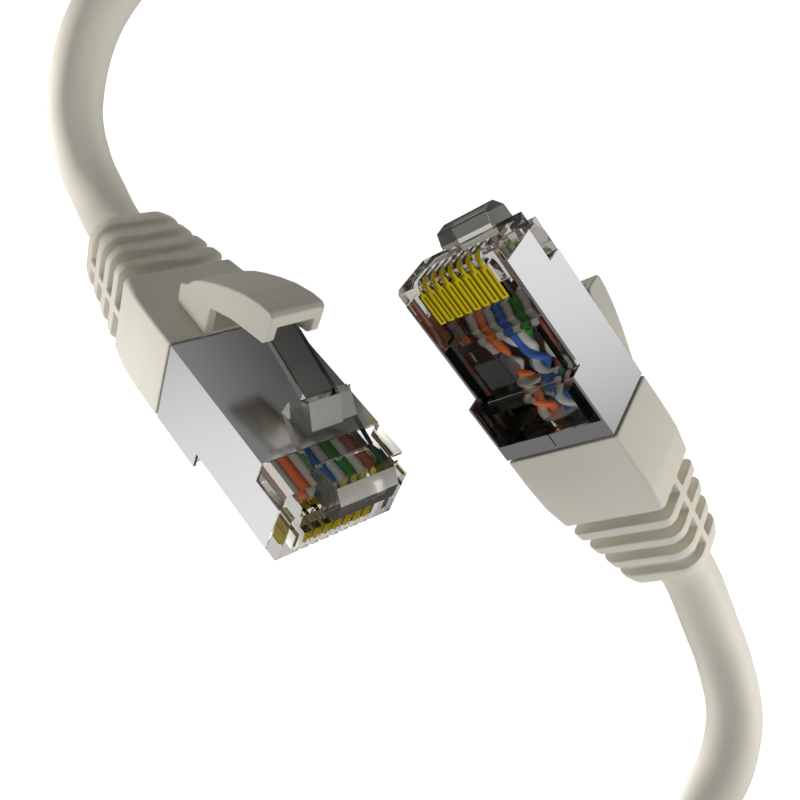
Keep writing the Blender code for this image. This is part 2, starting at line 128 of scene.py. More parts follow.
def plug_matrix(letter):
    nose, roll, rise, heading = PLUG_POSES[letter]
    turn = Euler((radians(roll), radians(-rise), radians(heading))).to_matrix().to_4x4()
    return Matrix.Translation(placed(nose)) @ turn


PLUGS = {letter: plug_matrix(letter) for letter in PLUG_POSES}


def at(letter, back, across, up):
    """A point of a plug's own frame, in the row frame, in metres."""
    return PLUGS[letter] @ (Vector((-back, across, up)) * MM)


# ---------------------------------------------------------------- node helpers


def math_node(tree, operation, *values):
    """The output of a Math node. Each value is a number or another node's output."""
    node = tree.nodes.new("ShaderNodeMath")
    node.operation = operation
    for socket, value in zip(node.inputs, values):
        if isinstance(value, (int, float)):
            socket.default_value = value
        else:
            tree.links.new(value, socket)
    return node.outputs[0]


def vector_node(tree, operation, vector, other):
    """The number that a Vector Math node makes of an output and a fixed vector."""
    node = tree.nodes.new("ShaderNodeVectorMath")
    node.operation = operation
    node.inputs[1].default_value = other
    tree.links.new(vector, node.inputs[0])
    return node.outputs["Value"]


def ramp_node(tree, value, low, high, to_low, to_high, kind="LINEAR"):
    """The output goes from to_low to to_high as the value goes from low to high, and stays there."""
    node = tree.nodes.new("ShaderNodeMapRange")
    node.interpolation_type = kind
    node.inputs["From Min"].default_value = low
    node.inputs["From Max"].default_value = high
    node.inputs["To Min"].default_value = to_low
    node.inputs["To Max"].default_value = to_high
    tree.links.new(value, node.inputs["Value"])
    return node.outputs["Result"]


def noise_node(tree, coordinates, scale, detail):
    node = tree.nodes.new("ShaderNodeTexNoise")
    node.inputs["Scale"].default_value = scale
    node.inputs["Detail"].default_value = detail
    tree.links.new(coordinates, node.inputs["Vector"])
    return node.outputs["Fac"]


def coordinates_node(tree, kind):
    return tree.nodes.new("ShaderNodeTexCoord").outputs[kind]


# ---------------------------------------------------------------- materials

BUMP_DETAIL = 3
BUMP_DEPTH = 0.05
PAINTED_HIGHLIGHT_AXIS = (0.1, -0.7, 0.7)  # across and up: painted highlight, the glow is brightest where a surface faces this way, so that round wires show their roundness
GLOW_POWER = 2.5
GLOW_LEAST = 0.3
GLOW_MOST = 1.5
BEIGE = (0.8, 0.765, 0.655)
CLEAR_TINT = (0.68, 0.662, 0.62)
# The next two tints make copies of the clear plastic: a lighter, rougher one that is painted sheen, for
# faces turned forward and up, and a dark one that is painted shade, for recesses and faces under the
# walls
PAINTED_SHEEN_TINT = (0.74, 0.72, 0.67)
PAINTED_SHADE_TINT = (0.13, 0.128, 0.12)
CLEAR_IOR = 1.2  # lower than the real plastic's, so that the conductors stay readable
# the clear plastic, then its painted-sheen copy and its painted-shade copy
CLEAR_SHEEN_AND_SHADE = ("clear_plastic", "painted_sheen_plastic", "painted_shade_plastic")
CLEAR, PAINTED_SHEEN, PAINTED_SHADE = range(3)
MATERIALS = {}


def principled(name, colour, roughness, **more):
    """A new finish, kept in MATERIALS under its own name."""
    made = bpy.data.materials.new(name)
    MATERIALS[name] = made
    made.use_nodes = True
    shader = made.node_tree.nodes["Principled BSDF"]
    shader.inputs["Base Color"].default_value = (*colour, 1)
    shader.inputs["Roughness"].default_value = roughness
    for key, value in more.items():
        shader.inputs[key.replace("_", " ")].default_value = value
    return made


def clear(name, tint, roughness, share):
    """Plastic that lets the given share of the light through."""
    return principled(name, tint, roughness, IOR=CLEAR_IOR, Transmission_Weight=share)


def grained(name, colour, roughness, scale, strength):
    """A soft plastic with a fine moulded grain."""
    made = principled(name, colour, roughness)
    tree = made.node_tree
    bump = tree.nodes.new("ShaderNodeBump")
    bump.inputs["Strength"].default_value = strength
    bump.inputs["Distance"].default_value = BUMP_DEPTH * MM
    grain = noise_node(tree, coordinates_node(tree, "Object"), scale, BUMP_DETAIL)
    tree.links.new(grain, bump.inputs["Height"])
    tree.links.new(bump.outputs["Normal"], tree.nodes["Principled BSDF"].inputs["Normal"])
    return made


def with_painted_glow(name, colour, roughness, strength, **more):
    """Painted light: a finish that glows, though it is no lamp, so that it also shows inside the clear
    plastic, where little light gets in. The glow is a painted highlight, brightest where the surface
    faces across and up.
    """
    made = principled(name, colour, roughness, **more)
    tree = made.node_tree
    shader = tree.nodes["Principled BSDF"]
    shader.inputs["Emission Color"].default_value = (*colour, 1)
    facing = vector_node(tree, "DOT_PRODUCT", coordinates_node(tree, "Normal"), PAINTED_HIGHLIGHT_AXIS)
    turned = math_node(tree, "POWER", math_node(tree, "ABSOLUTE", facing), GLOW_POWER)
    glow = ramp_node(tree, turned, 0, 1, GLOW_LEAST * strength, GLOW_MOST * strength)
    tree.links.new(glow, shader.inputs["Emission Strength"])
    return made


clear("clear_plastic", CLEAR_TINT, 0.02, 1.0)
# painted sheen, then painted shade: lighter and darker copies of the one clear plastic
clear("painted_sheen_plastic", PAINTED_SHEEN_TINT, 0.3, 0.3)
clear("painted_shade_plastic", PAINTED_SHADE_TINT, 0.1, 0.5)
principled("nickel_shield", (0.78, 0.78, 0.78), 0.2, Metallic=1.0)
grained("boot_rubber", BEIGE, 0.5, 2500, 0.15)
grained("cord_jacket", BEIGE, 0.42, 1800, 0.12)
# gold, copper and the conductors glow: painted light, with a painted highlight that shows their roundness
with_painted_glow("gold_contact", (0.58, 0.46, 0.005), 0.3, 0.42, Metallic=0.3)
# darker gold: painted shade in the blade's groove
with_painted_glow("gold_groove_shade", (0.26, 0.2, 0.01), 0.5, 0.2)
with_painted_glow("copper", (0.62, 0.5, 0.04), 0.35, 0.3, Metallic=0.4)
with_painted_glow("wire_orange", (0.66, 0.15, 0.05), 0.35, 0.3)
with_painted_glow("wire_green", (0.03, 0.17, 0.03), 0.35, 0.3)
with_painted_glow("wire_blue", (0.04, 0.12, 0.36), 0.35, 0.3)
with_painted_glow("wire_brown", (0.24, 0.08, 0.06), 0.35, 0.3)
with_painted_glow("wire_white", (0.5, 0.49, 0.46), 0.35, 0.25)

# ---------------------------------------------------------------- mesh helpers

ROUND_SIDES = 48
CHAMFER_ANGLE = 30
CRISP_ANGLE = 25  # edges that turn further than this stay sharp in clear plastic
SOFT_ANGLE = 30  # and in the other materials
SMOOTH_ROUNDS = 4
FACES_KEPT = 0.2


def mesh_from(build):
    """A mesh filled in by build(bm), in metres."""
    bm = bmesh.new()
    build(bm)
    bmesh.ops.recalc_face_normals(bm, faces=bm.faces)
    mesh = bpy.data.meshes.new("solid")
    bm.to_mesh(mesh)
    bm.free()
    return mesh


def add_loft(bm, rings):
    """Skin equally long closed rings of (x, y, z) points and cap both ends."""
    rows = [[bm.verts.new(Vector(p) * MM) for p in ring] for ring in rings]
    count = len(rows[0])
    for row, following in zip(rows, rows[1:]):
        for i in range(count):
            j = (i + 1) % count
            bm.faces.new((row[i], row[j], following[j], following[i]))
    bm.faces.new(rows[0])
    bm.faces.new(list(reversed(rows[-1])))


def loft(rings):
    return mesh_from(lambda bm: add_loft(bm, rings))


def prism(profile, low, high):
    """A side profile of (back, up) points, extruded across the plug from low to high."""
    return loft([[(-back, across, up) for back, up in profile] for across in (low, high)])


def block(back, across, up):
    """A box from three (low, high) ranges."""
    corners = ((back[0], up[0]), (back[1], up[0]), (back[1], up[1]), (back[0], up[1]))
    return prism(corners, *across)


def circle(radius, sides, back, across, up):
    """A ring square to the plug's length."""
    turns = [2 * pi * i / sides for i in range(sides)]
    return [(-back, across + radius * cos(t), up + radius * sin(t)) for t in turns]


def rod(radius, front, end):
    """A round bar on the cord's own line."""
    return loft([circle(radius, ROUND_SIDES, back, 0, CORD_LEVEL) for back in (front, end)])


def around(middle, half):
    return (middle - half, middle + half)


def evaluated(mesh, *settings):
    """The mesh after modifiers, each given as (type, {attribute: value})."""
    owner = bpy.data.objects.new("owner", mesh)
    collection.objects.link(owner)
    for kind, values in settings:
        modifier = owner.modifiers.new(kind.lower(), kind)
        for key, value in values.items():
            setattr(modifier, key, value)
    depsgraph = bpy.context.evaluated_depsgraph_get()
    result = bpy.data.meshes.new_from_object(owner.evaluated_get(depsgraph))
    bpy.data.objects.remove(owner)
    return result


def combine(base, tools, operation):
    helpers = []
    for tool in tools:
        helper = bpy.data.objects.new("tool", tool)
        collection.objects.link(helper)
        helpers.append(helper)
    result = evaluated(
        base, *(("BOOLEAN", {"operation": operation, "object": helper}) for helper in helpers)
    )
    for helper in helpers:
        bpy.data.objects.remove(helper)
    return result


def cut(base, *tools):
    return combine(base, tools, "DIFFERENCE")


def join(base, *tools):
    return combine(base, tools, "UNION")


def chamfered(mesh, width):
    """Take the edge off every sharp corner."""
    values = {
        "width": width * MM,
        "segments": 1,
        "limit_method": "ANGLE",
        "angle_limit": radians(CHAMFER_ANGLE),
    }
    return evaluated(mesh, ("BEVEL", values))


def moulded(mesh, voxel):
    """One smooth moulded skin with soft edges."""
    return evaluated(
        mesh,
        ("REMESH", {"mode": "VOXEL", "voxel_size": voxel * MM, "use_smooth_shade": True}),
        ("SMOOTH", {"factor": 0.5, "iterations": SMOOTH_ROUNDS}),
        ("DECIMATE", {"ratio": FACES_KEPT}),
    )


def shaded(mesh, angle):
    """Smooth shading, apart from edges that turn further than the angle."""
    mesh.shade_smooth()
    mesh.set_sharp_from_angle(angle=radians(angle))
    return mesh


def painted(mesh, finishes, choose=None):
    """The mesh in these finishes. choose(face) says which of them, by number, a face takes."""
    mesh.materials.clear()
    for finish in finishes:
        mesh.materials.append(MATERIALS[finish])
    if choose:
        for face in mesh.polygons:
            face.material_index = choose(face)
    return mesh


# ---------------------------------------------------------------- clear housing

CONDUCTORS = 8
PITCH = 1.02
BODY_HALF = 5.52  # inside the shield
NOSE_HALF = 5.8
INNER_TOP = 8.1
SLOT_HALF = 0.26
SLOT_BACK = (-0.5, 4.6)
SLOT_UP = (0.5, 4.3)
FLAT_SLOT_HALF = 0.44  # wider behind the nose, where the flat of a blade shows
FLAT_SLOT_BACK = (1.15, 4.6)
FLAT_SLOT_UP = (0.5, 3.3)
ROOT_HALF = 2.9
HOUSING_EDGE = 0.09
NOSE_FRONT = ((0.3, 1.6), (0, 2.1), (0, 7.0), (1.3, 7.0))
BODY_PROFILE = (
    *NOSE_FRONT,
    (1.3, INNER_TOP),
    (18.2, INNER_TOP),
    (18.2, 0.3),
    (12.4, 0.3),
    (12.4, 1.6),
)
NOSE_PROFILE = (*NOSE_FRONT, (1.3, 8.32), (4.67, 8.32), (4.67, 6.45), (1.48, 6.45), (1.48, 1.6))
ROOT_PROFILE = (
    (-1.5, 7.15),
    (-1.55, 8.75),
    (-0.5, 9.78),
    (0.9, 9.85),
    (2.4, 9.4),
    (2.4, 6.5),
    (-0.4, 6.6),
)
LANE_CHAMBER = ((0.75, 7.4), (-4.3, 4.3), (4.9, 6.75))
PAIR_CHAMBER = ((7.3, 18.6), (-4.7, 4.7), (2.7, 6.9))
FRONT_POCKET = ((7.6, 0.5), (7.9, 2.8), (12.3, 2.8), (12.8, 0.5))
FRONT_POCKET_ACROSS = (-3.9, 4.3)
REAR_POCKET = ((13.7, 17.0), (-4.2, 4.2), (-0.5, 2.8))
MOUTH_RADIUS = 2.8
MOUTH_BACK = (16.6, 18.6)


def lane(index):
    """Where conductor number index, counted from 0, lies across the plug."""
    return (index - (CONDUCTORS - 1) / 2) * PITCH


def housing_sheen_and_shade(face):
    """Painted sheen, a lighter and rougher copy of the clear plastic, on the slope of the latch root, and
    painted shade, a dark copy, on its other large faces and under the walls.
    """
    x, y, z = face.center / MM
    facing = face.normal
    on_root = abs(y) < ROOT_HALF - 0.05 and x > 0.6 and face.area > 0.3 * MM * MM
    root_side = abs(abs(y) - ROOT_HALF) < 0.05 and z > 7.2 and abs(facing.y) > 0.7
    under_wall = abs(y) > 4.5 and x < -1 and z < 2 and facing.z < -0.5
    if on_root and facing.x > 0.5 and facing.z > 0.4:
        return PAINTED_SHEEN
    if on_root and (facing.x > 0.5 or facing.z < -0.5):
        return PAINTED_SHADE
    return PAINTED_SHADE if root_side or under_wall else CLEAR


def clear_body_mesh():
    """Nose, shoulders, latch root, contact slots, wire chambers and the two open pockets."""
    body = join(
        prism(BODY_PROFILE, -BODY_HALF, BODY_HALF),
        prism(NOSE_PROFILE, -NOSE_HALF, NOSE_HALF),
        prism(ROOT_PROFILE, -ROOT_HALF, ROOT_HALF),
    )
    lanes = [lane(i) for i in range(CONDUCTORS)]
    cuts = [
        *(block(SLOT_BACK, around(middle, SLOT_HALF), SLOT_UP) for middle in lanes),
        *(block(FLAT_SLOT_BACK, around(middle, FLAT_SLOT_HALF), FLAT_SLOT_UP) for middle in lanes),
        block(*LANE_CHAMBER),
        block(*PAIR_CHAMBER),
        prism(FRONT_POCKET, *FRONT_POCKET_ACROSS),
        block(*REAR_POCKET),
        rod(MOUTH_RADIUS, *MOUTH_BACK),
    ]
    mesh = chamfered(cut(body, *cuts), HOUSING_EDGE)
    return shaded(painted(mesh, CLEAR_SHEEN_AND_SHADE, housing_sheen_and_shade), CRISP_ANGLE)


# ---------------------------------------------------------------- clear latch, comb and clamp

PLATE_HALF = 3.05
LEVER_HALF = 1.55
CHANNEL_HALF = 1.4
EAR_ACROSS = 3.0
EAR_HALF = 0.09
LATCH_EDGE = 0.07
PLATE_PROFILE = ((2.35, 9.4), (4.7, 10.1), (7.0, 11.3), (7.1, 10.6), (5.2, 9.3), (2.35, 8.6))
RISER_PROFILE = ((4.75, 10.1), (6.1, 12.05), (7.0, 12.25), (7.0, 10.6), (5.2, 9.4))
SHOULDER_PROFILE = ((4.8, 10.1), (6.4, 11.6), (7.1, 11.7), (7.1, 10.6), (5.2, 9.4))
LEVER_PROFILE = (
    (5.8, 11.5),
    (6.1, 12.05),
    (12.3, 13.5),
    (14.8, 14.1),
    (14.8, 13.55),
    (12.3, 12.9),
    (6.6, 11.4),
)
CHANNEL_PROFILE = ((6.5, 12.25), (8.2, 12.3), (15.5, 14.0), (15.5, 15.5), (6.5, 14.0))
EAR_PROFILE = ((6.1, 10.8), (6.75, 12.0), (7.05, 10.7))
COMB_PLATE = ((5.2, 7.1), (-4.2, 4.2), (4.95, 5.3))
COMB_EDGE = 0.06
WEDGE_PROFILE = ((9.2, 1.7), (12.1, 1.7), (12.1, 3.4), (11.3, 3.7), (9.2, 2.6))
WEDGE_ACROSS = (-3.8, -0.9)
WEDGE_EDGE = 0.08


def latch_sheen_and_shade(face):
    """Painted sheen where the latch faces forward and along its rims, and painted shade on the lever's
    sides.
    """
    x, y, z = face.center / MM
    facing = face.normal
    slope = facing.x > 0.6 and facing.z > 0.3 and face.area > 0.02 * MM * MM
    front = slope and z > 10.1 and x > -6.6
    ear = abs(y) > PLATE_HALF + 0.01 and z > 10.9 and x < -5.9
    shelf = z > 11.4 and -7.2 < x < -5.9 and facing.z > 0.5
    rim = CHANNEL_HALF - 0.02 < abs(y) < LEVER_HALF + 0.01 and facing.z > 0.7 and x < -6.5
    if front or ear or shelf or rim:
        return PAINTED_SHEEN
    return PAINTED_SHADE if abs(facing.y) > 0.7 and x < -8 else CLEAR


def latch_tab_mesh():
    """Root plate with its step, a shoulder on one side, two ears and the channelled lever behind them."""
    latch = join(
        prism(PLATE_PROFILE, -PLATE_HALF, PLATE_HALF),
        prism(RISER_PROFILE, -LEVER_HALF, LEVER_HALF),
        prism(SHOULDER_PROFILE, LEVER_HALF - 0.05, PLATE_HALF),
        prism(LEVER_PROFILE, -LEVER_HALF, LEVER_HALF),
        *(prism(EAR_PROFILE, *around(middle, EAR_HALF)) for middle in (-EAR_ACROSS, EAR_ACROSS)),
    )
    channel = prism(CHANNEL_PROFILE, -CHANNEL_HALF, CHANNEL_HALF)
    mesh = chamfered(cut(latch, channel), LATCH_EDGE)
    return shaded(painted(mesh, CLEAR_SHEEN_AND_SHADE, latch_sheen_and_shade), CRISP_ANGLE)


def comb_mesh():
    """The flat plate of the load bar, which the conductors cross."""
    mesh = chamfered(block(*COMB_PLATE), COMB_EDGE)
    return shaded(painted(mesh, ("clear_plastic",)), CRISP_ANGLE)


def wedge_mesh():
    """Ramp that presses the bundle to one side, in painted shade, with painted sheen on the face towards
    the bundle.
    """
    mesh = chamfered(prism(WEDGE_PROFILE, *WEDGE_ACROSS), WEDGE_EDGE)
    # painted shade, and painted sheen on the faces turned towards the bundle
    finishes = ("painted_shade_plastic", "painted_sheen_plastic")
    return shaded(painted(mesh, finishes, lambda face: int(face.normal.y > 0.9)), CRISP_ANGLE)


# ---------------------------------------------------------------- contact blades

BLADE_HALF = 0.14
FLAT_HALF = 0.39
GROOVE_HALF = 0.12
BLADE_EDGE = 0.04
BLADE_PROFILE = (
    (4.45, 1.72),
    (0.9, 1.72),
    (0.55, 1.9),
    (0.3, 2.3),
    (0.24, 2.8),
    (0.24, 3.5),
    (0.5, 3.6),
    (0.9, 2.6),
    (4.45, 2.4),
)
FLAT_PROFILE = ((1.3, 1.78), (1.45, 1.7), (4.4, 1.7), (4.4, 2.05), (1.3, 2.05))
GROOVE_BACK = (1.5, 4.2)
GROOVE_UP = (1.5, 1.86)


def blade_mesh(index):
    """A gold blade: a grooved flat, and a thin edge bent up round the nose, with darker gold in the
    groove as painted shade.
    """
    middle = lane(index)

    # the groove's faces take the darker gold, painted shade
    def in_groove(face):
        x, y, z = face.center / MM
        return int(abs(y - middle) < GROOVE_HALF + 0.02 and 1.75 < z < 1.9 and x < -1)

    blade = join(
        prism(BLADE_PROFILE, *around(middle, BLADE_HALF)),
        prism(FLAT_PROFILE, *around(middle, FLAT_HALF)),
    )
    groove = block(GROOVE_BACK, around(middle, GROOVE_HALF), GROOVE_UP)
    mesh = chamfered(cut(blade, groove), BLADE_EDGE)
    return shaded(painted(mesh, ("gold_contact", "gold_groove_shade"), in_groove), SOFT_ANGLE)


# ---------------------------------------------------------------- conductors

LEAD_COLOURS = (
    "wire_orange",
    "wire_orange",
    "wire_green",
    "wire_blue",
    "wire_blue",
    "wire_green",
    "wire_brown",
    "wire_brown",
)
PAIR_OF = (0, 0, 1, 2, 2, 1, 3, 3)
PAIR_ACROSS = (-1.2, 0.1, 1.4, 2.6)
PAIR_UP = (3.5, 4.9, 3.45, 4.6)
LEAD_RADIUS = 0.45
LEAD_SIDES = 20
LEAD_STEPS = 64
LEAD_TIP = 1.85
LEAD_END = 17.0
LANE_UP = 5.85
LANE_DROP = 1.35
DROP_BACK = (6.0, 9.0)
GATHER_BACK = (7.6, 12.2)
TWIST_BACK = (9.0, 11.0)
TWIST_RADIUS = 0.52
TWIST_RATE = 1.75  # radians for each millimetre back
COPPER_RADIUS = 0.3
COPPER_BACK = (LEAD_TIP - 0.06, LEAD_TIP + 0.05)
STRIPES = ((25, 75), (205, 255))  # degrees round a white conductor


def share(value, low, high):
    """How far the value is from low to high, held between 0 and 1."""
    return min(max((value - low) / (high - low), 0), 1)


def eased(value):
    return value * value * (3 - 2 * value)


def lead_point(index, back):
    """(back, across, up) of a conductor's middle: first in its lane, then twisted with its partner."""
    pair = PAIR_OF[index]
    gather = eased(share(back, *GATHER_BACK))
    turn = (0 if index % 2 else pi) + (back - TWIST_BACK[0]) * TWIST_RATE + pair
    reach = TWIST_RADIUS * share(back, *TWIST_BACK)
    lane_up = LANE_UP - LANE_DROP * eased(share(back, *DROP_BACK))
    across = lane(index) * (1 - gather) + (PAIR_ACROSS[pair] + reach * cos(turn)) * gather
    up = lane_up * (1 - gather) + (PAIR_UP[pair] + reach * sin(turn)) * gather
    return back, across, up


def lead_mesh(index):
    """One insulated conductor with its bare copper end. Every other one is white with two stripes."""
    places = [LEAD_TIP + (LEAD_END - LEAD_TIP) * k / LEAD_STEPS for k in range(LEAD_STEPS + 1)]
    sleeve = [circle(LEAD_RADIUS, LEAD_SIDES, *lead_point(index, back)) for back in places]
    _, across, up = lead_point(index, LEAD_TIP)
    copper = [circle(COPPER_RADIUS, LEAD_SIDES, back, across, up) for back in COPPER_BACK]
    white = index % 2 == 0
    skin, stripe, metal = range(3)

    def finish(number):
        """The finish of a face of the sleeve's side, by its number."""
        angle = 360 * (number % LEAD_SIDES + 0.5) / LEAD_SIDES
        return stripe if white and any(low < angle < high for low, high in STRIPES) else skin

    def build(bm):
        add_loft(bm, sleeve)
        ends = len(bm.faces)
        add_loft(bm, copper)
        for number, face in enumerate(bm.faces):
            if number >= ends:
                face.material_index = metal
            elif number < LEAD_STEPS * LEAD_SIDES:
                face.material_index = finish(number)

    mesh = mesh_from(build)
    colour = LEAD_COLOURS[index]
    for name in ("wire_white" if white else colour, colour, "copper"):
        mesh.materials.append(MATERIALS[name])
    return shaded(mesh, SOFT_ANGLE)


# ---------------------------------------------------------------- boot and hood

BOOT_HALF = 5.92
BOOT_TOP = 8.5
BOOT_RINGS = (  # back, half width, bottom, top and the radius of the corners
    (BOOT_FRONT, BOOT_HALF, -0.05, BOOT_TOP, 0.25),
    (22.2, BOOT_HALF, -0.05, BOOT_TOP, 0.25),
    (25.0, 5.85, 0.05, BOOT_TOP, 0.3),
    (27.4, 5.5, 0.2, BOOT_TOP, 0.6),
    (30.5, 5.15, 0.3, BOOT_TOP, 1.3),
    (33.5, 4.75, 0.45, BOOT_TOP - 0.05, 2.0),
    (35.6, 4.45, 0.6, BOOT_TOP - 0.1, 2.2),
    (BOOT_BACK, 4.2, 0.85, BOOT_TOP - 0.35, 2.3),
)
CORNER_STEPS = 8
CORE_SECTION = (3.9, 1.6, 7.7, 1.2)  # what the slots leave standing: half width, bottom, top and corners
CORE_END = BOOT_BACK + 2
FERRULE_RADIUS = 3.3
FERRULE_BACK = (BOOT_FRONT - 1, 24.3)
CORD_HOLE_RADIUS = CORD_DIAMETER / 2 + 0.02
CORD_HOLE_BACK = (BOOT_FRONT, BOOT_BACK + 1)
JACKET_BACK = (16.9, BOOT_BACK + 0.1)
RIB_SLOTS = 4
RIB_SLOT_PITCH = 2.11
RIB_SLOT_WIDTH = 1.2
RIB_SLOT_FIRST = 28.2
RIB_SLOT_ACROSS = (-8, 8)
RIB_SLOT_UP = ((4.55, 12), (-4, 3.7))  # above and below the bar that joins the ribs along each side
BOOT_VOXEL = 0.09
HOOD_VOXEL = 0.08
HOOD_HALF = 2.55
TUNNEL_HALF = 1.75
HOOD_PROFILE = (
    (23.5, 8.3),
    (23.6, 10.4),
    (22.6, 11.0),
    (21.9, 11.95),
    (20.6, 12.95),
    (19.2, 13.8),
    (17.2, 14.88),
    (15.2, 15.78),
    (13.2, 16.4),
    (11.9, 16.6),
    (11.45, 16.35),
    (11.45, 14.0),
    (11.85, 13.55),
    (13.7, 13.1),
    (16.2, 12.45),
    (18.95, 11.3),
    (18.95, 8.3),
)
TUNNEL_PROFILE = (
    (21.5, 8.6),
    (21.5, 11.0),
    (20.0, 12.4),
    (17.2, 13.7),
    (14.8, 14.7),
    (13.0, 15.15),
    (10.5, 15.3),
    (10.5, 7.0),
    (18.0, 7.0),
)


def rounded_section(back, half, low, high, corner):
    """A ring: a rectangle with round corners, square to the plug's length."""
    ring = []
    for quarter, (side, level) in enumerate(((1, 1), (-1, 1), (-1, -1), (1, -1))):
        y = side * (half - corner)
        z = high - corner if level > 0 else low + corner
        for i in range(CORNER_STEPS + 1):
            turn = (quarter + i / CORNER_STEPS) * pi / 2
            ring.append((-back, y + corner * cos(turn), z + corner * sin(turn)))
    return ring


def boot_body_mesh():
    """Square over the plug's back, tapering into the slotted strain relief."""
    body = loft([rounded_section(*ring) for ring in BOOT_RINGS])
    core = loft([rounded_section(back, *CORE_SECTION) for back in (BOOT_FRONT, CORE_END)])
    tools = [rod(FERRULE_RADIUS, *FERRULE_BACK), rod(CORD_HOLE_RADIUS, *CORD_HOLE_BACK)]
    for i in range(RIB_SLOTS):
        along = around(RIB_SLOT_FIRST + i * RIB_SLOT_PITCH, RIB_SLOT_WIDTH / 2)
        for up in RIB_SLOT_UP:
            tools.append(cut(block(along, RIB_SLOT_ACROSS, up), core))
    return painted(moulded(cut(body, *tools), BOOT_VOXEL), ("boot_rubber",))


def hood_skin_mesh():
    """The arch over the latch with its two skirts, grown in one piece out of the boot's top."""
    outer = prism(HOOD_PROFILE, -HOOD_HALF, HOOD_HALF)
    tunnel = prism(TUNNEL_PROFILE, -TUNNEL_HALF, TUNNEL_HALF)
    return painted(moulded(cut(outer, tunnel), HOOD_VOXEL), ("boot_rubber",))


def jacket_end_mesh():
    mesh = rod(CORD_DIAMETER / 2, *JACKET_BACK)
    return shaded(painted(mesh, ("cord_jacket",)), SOFT_ANGLE)


# ---------------------------------------------------------------- the plugs

BEND_FROM = (21.0, 0, 11.0)  # two points on a hood, in a plug's own frame
BEND_TO = (17.6, 0, 12.4)


def add_piece(letter, name, mesh, node, body="cable"):
    """Put a plug's piece in place, standing for its CAD node and riding on a body unless that is None."""
    piece = bpy.data.objects.new(f"plug_{letter}_{name}", mesh.copy())
    collection.objects.link(piece)
    piece.matrix_world = PLUGS[letter]
    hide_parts(f"plug_{letter}_{node}")
    if body is not None:
        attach(piece, body)
    return piece


def add_hood(letter, mesh):
    """Put a hood's skin in place, standing for the CAD hood, riding on no body, and bake its place into
    its mesh.
    """
    skin = add_piece(letter, "hood_skin", mesh, "hood", None)
    skin.visible_glossy = False
    tuple(at(letter, *BEND_FROM))
    tuple(at(letter, *BEND_TO))
    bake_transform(skin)


clear_body = clear_body_mesh()
latch_tab = latch_tab_mesh()
comb = comb_mesh()
wedge = wedge_mesh()
boot_body = boot_body_mesh()
hood_skin = hood_skin_mesh()
jacket_end = jacket_end_mesh()
blades = [blade_mesh(i) for i in range(CONDUCTORS)]
leads = [lead_mesh(i) for i in range(CONDUCTORS)]
for letter in PLUGS:
    add_piece(letter, "clear_body", clear_body, "housing")
    add_piece(letter, "latch_tab", latch_tab, "latch", f"plug_{letter}_latch")
    add_piece(letter, "wire_comb", comb, "load_bar")
    add_piece(letter, "wedge", wedge, "strain_clamp")
    boot = add_piece(letter, "boot_body", boot_body, "boot")
    boot.visible_glossy = False
    add_piece(letter, "jacket_stub", jacket_end, "jacket_end")
    add_hood(letter, hood_skin)
    for i in range(CONDUCTORS):
        add_piece(letter, f"blade_{i + 1}", blades[i], f"contact_{i + 1}")
        add_piece(letter, f"lead_{i + 1}", leads[i], f"wire_{i + 1}")
    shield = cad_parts[f"plug_{letter}_shield"]
    shield.data.materials.clear()
    shield.data.materials.append(MATERIALS["nickel_shield"])

# ---------------------------------------------------------------- the cord

ROUTE_STEPS = 8
BEVEL_STEPS = 10
EXIT_STRAIGHT = 3.2  # how far the cord runs straight on out of a boot


def smooth_route(points):
    """Many points on one smooth curve through the given ones (centripetal Catmull-Rom)."""
    ends = [2 * points[0] - points[1], *points, 2 * points[-1] - points[-2]]
    dense = []
    for a, b, c, d in zip(ends, ends[1:], ends[2:], ends[3:]):
        t1 = (b - a).length ** 0.5
        t2 = t1 + (c - b).length ** 0.5
        t3 = t2 + (d - c).length ** 0.5
        for i in range(ROUTE_STEPS):
            t = t1 + (t2 - t1) * i / ROUTE_STEPS
            ab = a.lerp(b, t / t1)
            bc = b.lerp(c, (t - t1) / (t2 - t1))
            cd = c.lerp(d, (t - t2) / (t3 - t2))
            abc = ab.lerp(bc, t / t2)
            bcd = bc.lerp(cd, (t - t1) / (t3 - t1))
            dense.append(abc.lerp(bcd, (t - t1) / (t2 - t1)))
    return [*dense, points[-1]]


def boot_exit(letter):
    """Where the cord starts behind a boot, and the next point, straight behind it."""
    return [at(letter, BOOT_BACK + gap, 0, CORD_LEVEL) for gap in (CORD_GAP, EXIT_STRAIGHT)]


def cord_curve(route):
    """A round tube along the route."""
    curve = bpy.data.curves.new("patch_cord", "CURVE")
    curve.dimensions = "3D"
    curve.bevel_depth = CORD_DIAMETER / 2 * MM
    curve.bevel_resolution = BEVEL_STEPS
    curve.use_fill_caps = True
    spline = curve.splines.new("POLY")
    spline.points.add(len(route) - 1)
    for knot, point in zip(spline.points, route):
        knot.co = (*point, 1)
    curve.materials.append(MATERIALS["cord_jacket"])
    spline.use_smooth = True
    return curve


start, after_start = boot_exit("a")
end, before_end = boot_exit("b")
route = smooth_route([start, after_start, *(placed(p) for p in ROUTE), before_end, end])
cord = bpy.data.objects.new("patch_cord", cord_curve(route))
cord.visible_glossy = False
collection.objects.link(cord)
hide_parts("cord")
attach(cord, "cable")
length = sum((b - a).length for a, b in zip(route, route[1:]))
tuple(start)

# ---------------------------------------------------------------- floor

